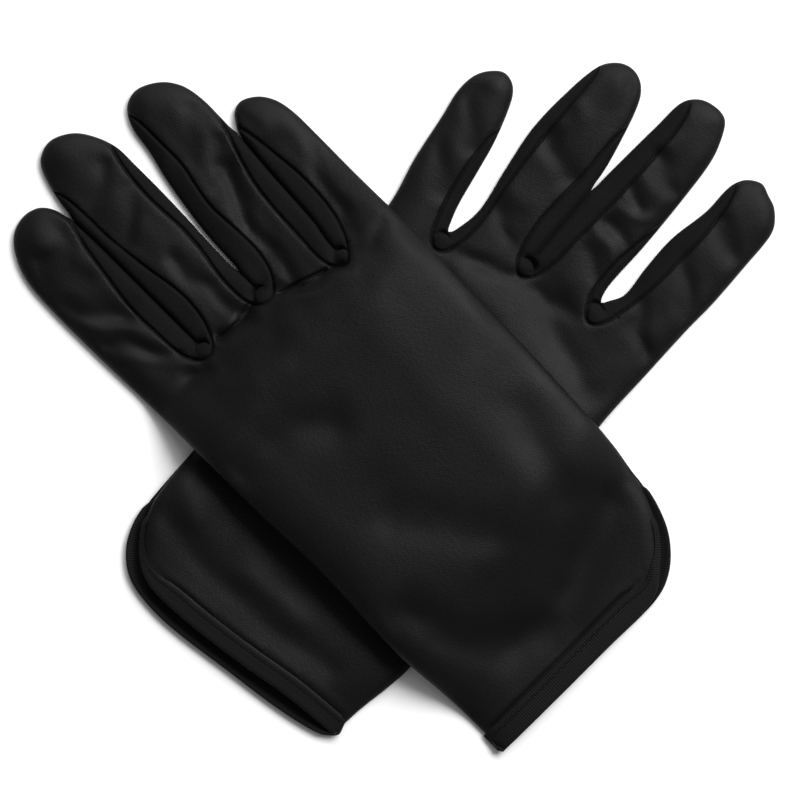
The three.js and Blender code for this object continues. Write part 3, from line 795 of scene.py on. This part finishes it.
def knit(name, colour, roughness, sheen, specular, wale, depth, mottle):
    """A warp knit: fine wales along the glove, crossed by courses, with a loose mottle in its gloss."""
    material, tree, shader = new_material(name, colour, roughness, sheen, specular)
    flat = add(tree, "ShaderNodeUVMap", {"uv_map": "flat"})
    wales = add(
        tree, "ShaderNodeTexWave", {"wave_type": "BANDS", "bands_direction": "Y"},
        Vector=flat.outputs[0], Scale=1 / wale / WAVE_BANDS, Distortion=0.6, Detail=1.0, Detail_Scale=2.0,
    )
    courses = add(
        tree, "ShaderNodeTexWave", {"wave_type": "BANDS", "bands_direction": "X"},
        Vector=flat.outputs[0], Scale=1 / wale / COURSE_BANDS, Distortion=0.8, Detail=1.0, Detail_Scale=2.0,
    )
    grain = add(
        tree, "ShaderNodeTexNoise", Vector=flat.outputs[0], Scale=900.0, Detail=3.0, Roughness=0.7,
    )
    both = add(
        tree, "ShaderNodeMath", {"operation": "MULTIPLY"},
        i0=wales.outputs["Fac"], i1=courses.outputs["Fac"],
    )
    mixed = add(
        tree, "ShaderNodeMath", {"operation": "MULTIPLY_ADD"},
        i0=grain.outputs["Fac"], i1=3.2, i2=both.outputs[0],
    )
    bump = add(
        tree, "ShaderNodeBump", Height=mixed.outputs[0], Strength=depth, Distance=0.00012,
    )
    tree.links.new(bump.outputs[0], shader.inputs["Normal"])
    cloud = add(tree, "ShaderNodeTexNoise", Vector=flat.outputs[0], Scale=60.0, Detail=3.0)
    gloss = add(
        tree, "ShaderNodeMapRange", Value=cloud.outputs["Fac"], From_Min=0.3, From_Max=0.7,
        To_Min=roughness - mottle, To_Max=roughness + mottle,
    )
    tree.links.new(gloss.outputs[0], shader.inputs["Roughness"])
    speck = add(
        tree, "ShaderNodeMix", {"data_type": "RGBA", "blend_type": "MIX"},
        i0=grain.outputs["Fac"], i6=linear(colour), i7=linear("#0f0f0f"),
    )
    tree.links.new(speck.outputs[2], shader.inputs["Base Color"])
    return material


# Bright floats, dyed black: a soft broad highlight, and near black between.
satin = knit(
    "black stretch satin knit", "#080808", roughness=0.52, sheen=0.01, specular=0.11, wale=0.0006,
    depth=0.35, mottle=0.05,
)
# Loops without floats: nearly no highlight, and a flatter, slightly lighter black.
strip_knit = knit(
    "black knit, dull side", "#101010", roughness=0.8, sheen=0.02, specular=0.05, wale=0.0007,
    depth=0.5, mottle=0.05,
)
print("made", satin.name, "and", strip_knit.name)

# %% [markdown]
# The binding is a soft elastic tape. Fine ribs run across it, about 0.6 mm apart on the real one, and drawn
# 0.75 mm apart so that they show. Its UV map has the distance along the tape as U and the distance across
# as V, so that the ribs follow every bend. The thread is spun polyester, matt and a little hairy.

# %% Ribbed tape and thread
RIB_SPACING = 0.00075


def ribbed_tape(name):
    """A tape with painted light on its ridges and painted shade in its gaps, so it looks ribbed and not like
    a glossy band.
    """
    material, tree, shader = new_material(name, "#111111", 0.7, 0.02, 0.08)
    flat = add(tree, "ShaderNodeUVMap", {"uv_map": "flat"})
    ribs = add(
        tree, "ShaderNodeTexWave", {"wave_type": "BANDS", "bands_direction": "X"},
        Vector=flat.outputs[0], Scale=1 / RIB_SPACING / WAVE_BANDS, Distortion=0.4, Detail=1.0,
    )
    grain = add(tree, "ShaderNodeTexNoise", Vector=flat.outputs[0], Scale=1500.0, Detail=2.0)
    mixed = add(
        tree, "ShaderNodeMath", {"operation": "MULTIPLY_ADD"},
        i0=grain.outputs["Fac"], i1=0.8, i2=ribs.outputs["Fac"],
    )
    bump = add(tree, "ShaderNodeBump", Height=mixed.outputs[0], Strength=0.65, Distance=0.00015)
    tree.links.new(bump.outputs[0], shader.inputs["Normal"])
    # Painted light and shade: the rib ridges are coloured lighter and the gaps between them darker.
    painted_rib_light_and_shade = add(
        tree, "ShaderNodeMix", {"data_type": "RGBA", "blend_type": "MIX"},
        i0=ribs.outputs["Fac"], i6=linear("#0c0c0c"), i7=linear("#141414"),
    )
    tree.links.new(painted_rib_light_and_shade.outputs[2], shader.inputs["Base Color"])
    return material


def spun_thread(name):
    """Thread that shows as a dark matt line."""
    material, tree, shader = new_material(name, "#060606", 0.7, 0.0, 0.08)
    place = add(tree, "ShaderNodeTexCoord")
    twist = add(
        tree, "ShaderNodeTexNoise", Vector=place.outputs["Object"], Scale=2500.0, Detail=1.0,
    )
    bump = add(tree, "ShaderNodeBump", Height=twist.outputs["Fac"], Strength=0.6, Distance=0.00008)
    tree.links.new(bump.outputs[0], shader.inputs["Normal"])
    return material


tape_knit = ribbed_tape("black ribbed elastic binding tape")
thread = spun_thread("black spun polyester thread")
print("made", tape_knit.name, "and", thread.name)

# %% [markdown]
# ## Backs and palms
# Now the sheets are cut and split. A line across each finger's root divides the finger from the hand. The
# hand's pieces ride on the hand's body, and each finger's pieces are baked where they lie.

# %% Finger roots, from the model's own hinges
joints = {j["name"]: j for j in frame["joints"]}
roots = {
    (hand, finger): in_glove(hand, joints[f"{hand}_{finger}_fold"]["pos_m"])[0]
    for hand in HANDS
    for finger in FINGERS
}
print("finger roots", {"_".join(k): round(u, 1) for k, u in roots.items()})


def lane(hand, uv):
    """Which finger a point is in line with: 0 for the little finger, up to 3 for the index finger."""
    found = np.zeros(len(uv), int)
    for crotch in CROTCHES:
        line = np.array(GAPS[hand][crotch], float)
        found += uv[:, 1] > np.interp(uv[:, 0], line[:, 0], line[:, 1])
    return found


def root_lines(hand):
    """A short line across each finger at its root."""
    sides = {}
    for k, finger in enumerate(FINGERS):
        u = roots[hand, finger]
        low, high = -70.0, 60.0
        if k > 0:
            line = np.array(GAPS[hand][CROTCHES[k - 1]], float)
            low = np.interp(u, line[:, 0], line[:, 1])
        if k < 3:
            line = np.array(GAPS[hand][CROTCHES[k]], float)
            high = np.interp(u, line[:, 0], line[:, 1])
        sides[finger] = respaced(np.array([(u, low), (u, high)]), 1.3)
    return sides


def bend_over_root(obj):
    """Bakes a finger's piece into place, in the model's frame."""
    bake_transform(obj)


# %% Split a sheet, and place its pieces
pieces = {}


def split_by_finger(hand, uv, faces):
    """For each face: its middle, the finger it is in line with, and whether it is past that finger's root."""
    middle = uv[faces].mean(1)
    at = lane(hand, middle)
    past = middle[:, 0] > np.array([roots[hand, FINGERS[k]] for k in at])
    return middle, at, past


def place_cloth(name, hand, finger, material, slot, sheet, node):
    """A piece of cloth in place of a CAD node: riding on the hand, or for a finger baked where it lies."""
    obj = cloth_piece(name, *sheet, material)
    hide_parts(node)
    if finger:
        bend_over_root(obj)
    else:
        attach(obj, f"{hand}_hand")
    pieces[node] = (obj, sheet)
    return obj


# %% Cut and split the backs
for hand in HANDS:
    lines = [*seams[hand].values(), *slits[hand].values(), *creases[hand], tape_edge(hand)]
    uv, faces = net(outlines[hand, "back"], lines, list(root_lines(hand).values()))
    points = on_table(hand, np.column_stack([laid(hand, uv), back_height(hand, uv)]))
    normals = sheet_normals(points, faces)
    if normals[:, 2].mean() < 0:
        faces = faces[:, ::-1]
        normals = -normals
    middle, at, past = split_by_finger(hand, uv, faces)
    crotch_of = np.full(len(faces), -1)
    for k, crotch in enumerate(CROTCHES):
        crotch_of[inside(middle, seams[hand][crotch])] = k
    cuts = [("back_satin", None, ~past & (crotch_of < 0), "back_panel")]
    for k, crotch in enumerate(CROTCHES):
        cuts.append((f"crotch_{crotch}", None, ~past & (crotch_of == k), f"web_{crotch}"))
    for n, finger in enumerate(FINGERS):
        mine = past & (at == n)
        cuts.append((f"{finger}_back_satin", finger, mine & (crotch_of < 0), f"{finger}_back"))
        for k in range(max(n - 1, 0), min(n + 1, 3)):
            crotch = CROTCHES[k]
            strip = (f"{finger}_strip_{crotch}", finger, mine & (crotch_of == k))
            cuts.append((*strip, f"{finger}_fourchette_{crotch}"))
    for name, finger, chosen, node in cuts:
        kind = (satin, "satin_knit") if name.endswith("satin") else (strip_knit, "side_strip_knit")
        sheet = (uv, points, normals, faces[chosen])
        place_cloth(f"{hand}_{name}", hand, finger, *kind, sheet, f"{hand}_{node}")
    print(hand, "back", len(uv), "points", len(faces), "faces")

# %% [markdown]
# The palm is cut from one sheet in the same way, with its faces turned down, and has no side strips.

# %% Cut and split the palms
for hand in HANDS:
    uv, faces = net(outlines[hand, "palm"], [], list(root_lines(hand).values()))
    points = on_table(hand, np.column_stack([laid(hand, uv), palm_height(hand, uv)]))
    normals = sheet_normals(points, faces)
    if normals[:, 2].mean() > 0:
        faces = faces[:, ::-1]
        normals = -normals
    middle, at, past = split_by_finger(hand, uv, faces)
    sheet = (uv, points, normals, faces[~past])
    place_cloth(f"{hand}_palm_satin", hand, None, satin, "satin_knit", sheet, f"{hand}_palm_panel")
    for n, finger in enumerate(FINGERS):
        sheet = (uv, points, normals, faces[past & (at == n)])
        place_cloth(
            f"{hand}_{finger}_palm_satin", hand, finger, satin, "satin_knit", sheet,
            f"{hand}_{finger}_palm",
        )
    print(hand, "palm", len(uv), "points", len(faces), "faces")

# %% [markdown]
# ## The tucked thumbs
# Each thumb is a tapered tube let into a round hole in the palm, and it lies flat under the palm, pointing
# towards the fingers. It rides on its own body, because it can swing out. It lies on what is under it at
# rest, and stays level as it swings. Each of its two plies is cut from the same outline.

# %% Thumbs
THUMB_ROOT, THUMB_TUCK = (70, 26), -17
THUMB_SEAM, THUMB_CROWN, THUMB_LOWEST = 0.75, 1.15, 0.12


def thumb_outline():
    """The thumb's outline round its root: wide where it is let in, and narrow at its tip."""
    side = [(-13.4, 0), (-11, 8), (-4, 12.8), (4, 13.4), (12, 11.6), (22, 10.6), (36, 10), (44, 9)]
    side += [(50, 5.8), (53.4, 0)]
    whole = side + [(a, -b) for a, b in side[-2:0:-1]]
    whole = np.array(whole + whole[:1], float)
    tuck = math.radians(THUMB_TUCK)
    turn = np.array([[math.cos(tuck), math.sin(tuck)], [-math.sin(tuck), math.cos(tuck)]])
    return smooth_line(whole @ turn + THUMB_ROOT)[:-1]


for hand in HANDS:
    outline = thumb_outline()
    uv, faces = net(outline, [], [])
    d = distance(uv, outline, True)
    lay = crossing_lift(hand, uv)
    crown = THUMB_CROWN * round_shoulder(d, 6) + 0.12 * ripples(uv, 6, 5.0)
    turned_up = (THUMB_SEAM - THUMB_LOWEST) * (1 - round_shoulder(d, 2.2))
    heights = {"over": lay + THUMB_SEAM + crown, "under": lay + THUMB_LOWEST + turned_up}
    for part, height in heights.items():
        points = on_table(hand, np.column_stack([uv, height]))
        normals = sheet_normals(points, faces)
        if (normals[:, 2].mean() > 0) != (part == "over"):
            faces, normals = faces[:, ::-1], -normals
        obj = cloth_piece(f"{hand}_thumb_{part}_satin", uv, points, normals, faces, satin)
        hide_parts(f"{hand}_thumb_{part}")
        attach(obj, f"{hand}_thumb")
        pieces[f"{hand}_thumb_{part}"] = (obj, (uv, points, normals, faces))
        print(obj.name, len(faces), "faces")

# %% [markdown]
# ## The cuff binding
# The tape is folded over the raw edge of the cloth: a U in section, about 6.6 mm deep and 1 mm thick. It is
# swept along the cuff's edge. At every station the section's points take their height from the cloth under
# them, so that the tape follows the crown of the glove and the rounded corner of the vent. Its ends are
# tucked in at the top of the vent.

# %% Section of the tape: (distance into the cloth, height over it), in mm
SECTION = [
    (TAPE_DEPTH, -0.1), (TAPE_DEPTH, 0.3), (TAPE_DEPTH - 0.25, 0.46), (TAPE_DEPTH - 0.9, 0.5),
    (TAPE_DEPTH - 1.5, 0.46), (TAPE_DEPTH - 1.9, 0.4), (TAPE_DEPTH - 2.3, 0.46), (3.6, 0.5),
    (2.8, 0.47), (2, 0.46), (1, 0.52), (0.2, 0.5), (-0.3, 0.36), (-0.55, 0.0), (-0.3, -0.36),
    (0.2, -0.46), (1, -0.44), (2, -0.4), (4, -0.38), (TAPE_DEPTH - 0.4, -0.36), (TAPE_DEPTH, -0.05),
]
TAPE_TUCK = {
    ("right", "back"): (13, 19), ("right", "palm"): (22, 27),
    ("left", "back"): (9, 14), ("left", "palm"): (12, 18),
}
TUCK_IN, TUCK_UNDER = 1.2, {"back": 1.3, "palm": 0.5}
PALM_CURL = 1.2
section_run = np.concatenate([[0], np.cumsum(np.linalg.norm(np.diff(np.array(SECTION), axis=0), axis=1))])
print(f"the tape is {section_run[-1]:.1f} mm wide before it is folded")


# %% Binding tape along one panel
def lattice(rows, columns, begin=0):
    """Four-sided faces between rows of points."""
    first = [begin + k * columns + i for k in range(rows - 1) for i in range(columns - 1)]
    return [(a, a + 1, a + columns + 1, a + columns) for a in first]


def tape_strip(hand, side, height, lift):
    """Points, flat coordinates and faces of the tape on one panel's edge."""
    cuffs = BACK_CUFF if side == "back" else PALM_CUFF
    edge = smooth_line(cuffs[hand], 0.8)
    inward = inwards(edge, outlines[hand, side])
    hidden_from = TAPE_TUCK[hand, side][1] + 1.5
    kept = (edge[:, 0] < hidden_from) | (edge[:, 1] > 0)
    edge, inward = edge[kept], inward[kept]
    run = np.concatenate([[0], np.cumsum(np.linalg.norm(np.diff(edge, axis=0), axis=1))])
    narrow = tape_width(hand, edge[:, 1]) / TAPE_DEPTH if side == "back" else np.ones(len(run))
    tucked = smoothstep(edge[:, 0], *TAPE_TUCK[hand, side]) * (edge[:, 1] < 0)
    rows, flat = [], []
    for (a, b), across in zip(SECTION, section_run):
        off = (a * narrow if a > 0 else a) + TUCK_IN * tucked
        curl = PALM_CURL * (1 - smoothstep(a, -0.5, 2.4)) if side == "palm" else 0
        at = edge + inward * off[:, None]
        under = edge + inward * np.clip(off, 0.3, None)[:, None]
        sunk = tucked * TUCK_UNDER[side]
        rows.append(np.column_stack([at, height(hand, under) + b + lift + curl - sunk]))
        flat.append(np.column_stack([run, np.full(len(run), across)]))
    return np.vstack(rows), np.vstack(flat), lattice(len(SECTION), len(edge))


# %% Binding tape round the folded edge
TURN, TURN_BULGE = 6, 0.9


def tape_turn(top, low, count):
    """Rows of points that carry the tape round the folded edge, from the back's tape to the palm's."""
    first = top[:: len(top) // count]
    last = low[:: len(low) // count][::-1]
    t = np.linspace(0, 1, TURN + 1)[:, None, None]
    rows = first + (last - first) * t
    rows[..., 1] += TURN_BULGE * np.sin(np.pi * t[..., 0])
    return rows.transpose(1, 0, 2).reshape(-1, 3)


tapes = {}
for hand in HANDS:
    top, top_flat, top_faces = tape_strip(hand, "back", back_height, 0.0)
    low, low_flat, low_faces = tape_strip(hand, "palm", palm_height, 0.4)
    count = len(SECTION)
    turn = tape_turn(top, low, count)
    turn_flat = np.column_stack([turn[:, 2], turn[:, 0]])
    points = on_table(hand, np.vstack([top, low, turn]))
    faces = top_faces + [tuple(i + len(top) for i in f) for f in low_faces]
    faces += [(a, d, c, b) for a, b, c, d in lattice(count, TURN + 1, len(top) + len(low))]
    if hand == "right":
        faces = [f[::-1] for f in faces]
    flat = np.vstack([top_flat, low_flat, turn_flat])
    obj = piece_of(f"{hand}_cuff_tape", points, faces, flat, tape_knit)
    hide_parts(f"{hand}_cuff_binding")
    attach(obj, f"{hand}_hand")
    tape_run = top_flat[:, 0].max() + low_flat[:, 0].max() + 5
    tapes[hand] = (obj, np.ptp(flat[: len(top) + len(low), 1]), tape_run)
    print(obj.name, len(obj.data.polygons), "faces")

# %% [markdown]
# ## Topstitching
# The tape is held by a zigzag of thread just inside its upper edge. A zigzag stretches with the knit. One
# tube follows the zigzag, pressed a little into the tape where each stitch enters it.


# %% Zigzag topstitch
STITCH = {"step": 0.22, "length": 1.15, "from_edge": 1.9, "swing": 0.36, "press": 0.16, "over": 0.46}
THREAD_RADIUS = 0.00017


def zigzag(hand):
    """The thread's line: it swings across the tape, and dips where each stitch enters it."""
    edge = smooth_line(BACK_CUFF[hand], STITCH["step"])
    inward = inwards(edge, outlines[hand, "back"])
    run = np.arange(len(edge)) * STITCH["step"]
    swing = np.abs((run / STITCH["length"]) % 2 - 1) * 2 - 1
    narrow = tape_width(hand, edge[:, 1]) / TAPE_DEPTH
    across = (TAPE_DEPTH - STITCH["from_edge"] + STITCH["swing"] * swing) * narrow
    at = edge + inward * across[:, None]
    dip = STITCH["press"] * np.cos(np.pi * (run / STITCH["length"])) ** 6
    line = np.column_stack([at, back_height(hand, at) + STITCH["over"] - dip])
    return line[(np.arange(len(line)) > 5) & (narrow > 0.34) & (edge[:, 0] < TAPE_TUCK[hand, "back"][0])]


for hand in HANDS:
    line = on_table(hand, zigzag(hand))
    curve = bpy.data.curves.new(f"{hand}_topstitch", "CURVE")
    curve.dimensions = "3D"
    curve.bevel_depth = THREAD_RADIUS
    curve.bevel_resolution = 1
    curve.use_fill_caps = True
    spline = curve.splines.new("POLY")
    spline.points.add(len(line) - 1)
    spline.points.foreach_set("co", np.column_stack([line, np.ones(len(line))]).ravel())
    obj = bpy.data.objects.new(f"{hand}_topstitch", curve)
    bpy.context.collection.objects.link(obj)
    bpy.ops.object.select_all(action="DESELECT")
    obj.select_set(True)
    bpy.context.view_layer.objects.active = obj
    bpy.ops.object.convert(target="MESH")
    obj.data.materials.append(thread)
    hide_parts(f"{hand}_cuff_topstitch")
    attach(obj, f"{hand}_hand")
    print(obj.name, len(line), "points of thread")

# %% [markdown]
# ## The cloth each piece was cut from
# The net's own (u, v) layout is the flat pattern, which gives each piece's cut length and width. The cloth
# lies a little fuller than its plan, and the side strips much fuller, as they stand partly on edge. Narrow
# strips were cut at least 10 mm wide, with their seam allowance. The two tapes are folded over the edge,
# with the topstitch sewn to them, and their cut sizes are printed.

LEAST_SIDE, LEAST_SHARE = 10.2, 0.34


for node, (obj, (uv, points, normals, faces)) in pieces.items():
    used = uv[np.unique(faces)]
    length, width = np.maximum(np.ptp(used, axis=0), LEAST_SIDE)
for hand, (obj, width, length) in tapes.items():
    print(obj.name, f"cut {width:.0f} x {length:.0f} mm")

# %% [markdown]
# ## Floor, light and camera
# The floor is a plain white board. The main soft light stands high at the upper right and a weaker one at
# the top, so black satin shows long soft highlights on the slopes that face them, and stays dark where it
# faces away. A faint third light and a grey room keep the shadows open. The camera looks straight down from
# far off through a long lens, so that nothing near it looks larger.

# %% Floor
bpy.ops.object.select_all(action="DESELECT")
bpy.ops.mesh.primitive_plane_add(size=6, location=(0, 0, -0.0002))
floor = bpy.context.object
floor.name = "floor"
floor_paint, _, _ = new_material("matt white board", "#f6f6f6", 0.9, 0.0, 0.2)
floor.data.materials.append(floor_paint)
floor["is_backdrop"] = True


# %% Lights
def soft_light(name, place, size, power):
    """A soft box that faces the gloves."""
    light = bpy.data.lights.new(name, "AREA")
    light.shape = "RECTANGLE"
    light.size, light.size_y = size
    light.energy = power
    obj = bpy.data.objects.new(name, light)
    bpy.context.collection.objects.link(obj)
    obj.location = place
    obj.rotation_euler = (-Vector(place)).to_track_quat("-Z", "Y").to_euler()
    print(name, "at", place, "of", power, "W")


soft_light("soft_light_key", (0.9, 0.75, 1.15), (1.05, 0.9), 35)
soft_light("soft_light_fill", (0.05, 1.3, 0.95), (1.2, 0.8), 14)
soft_light("soft_light_above", (0.45, 0.5, 1.5), (0.9, 0.9), 2.5)

# %% Room light
world = bpy.data.worlds.new("room")
bpy.context.scene.world = world
world.use_nodes = True
room = world.node_tree.nodes["Background"]
room.inputs["Color"].default_value = (1, 1, 1, 1)
room.inputs["Strength"].default_value = 0.18
bpy.context.scene.view_settings.view_transform = "Standard"

# %% Camera
SENSOR, LENS, FIELD = 36, 200, 0.240
camera_data = bpy.data.cameras.new("camera")
camera_data.sensor_width = SENSOR
camera_data.lens = LENS
camera = bpy.data.objects.new("camera", camera_data)
bpy.context.collection.objects.link(camera)
camera.location = (0.00156, 0.00381, FIELD * LENS / SENSOR)
camera_data.clip_start, camera_data.clip_end = 0.01, 20
bpy.context.scene.camera = camera
print(f"the camera is {camera.location.z:.2f} m up and sees {FIELD * 1000:.0f} mm across")

# %% [markdown]
# Last, the box of our pieces is printed.

# %% Sizes
low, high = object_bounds()
print("visual box", [round((b - a) * 1000, 1) for a, b in zip(low, high)], "mm")
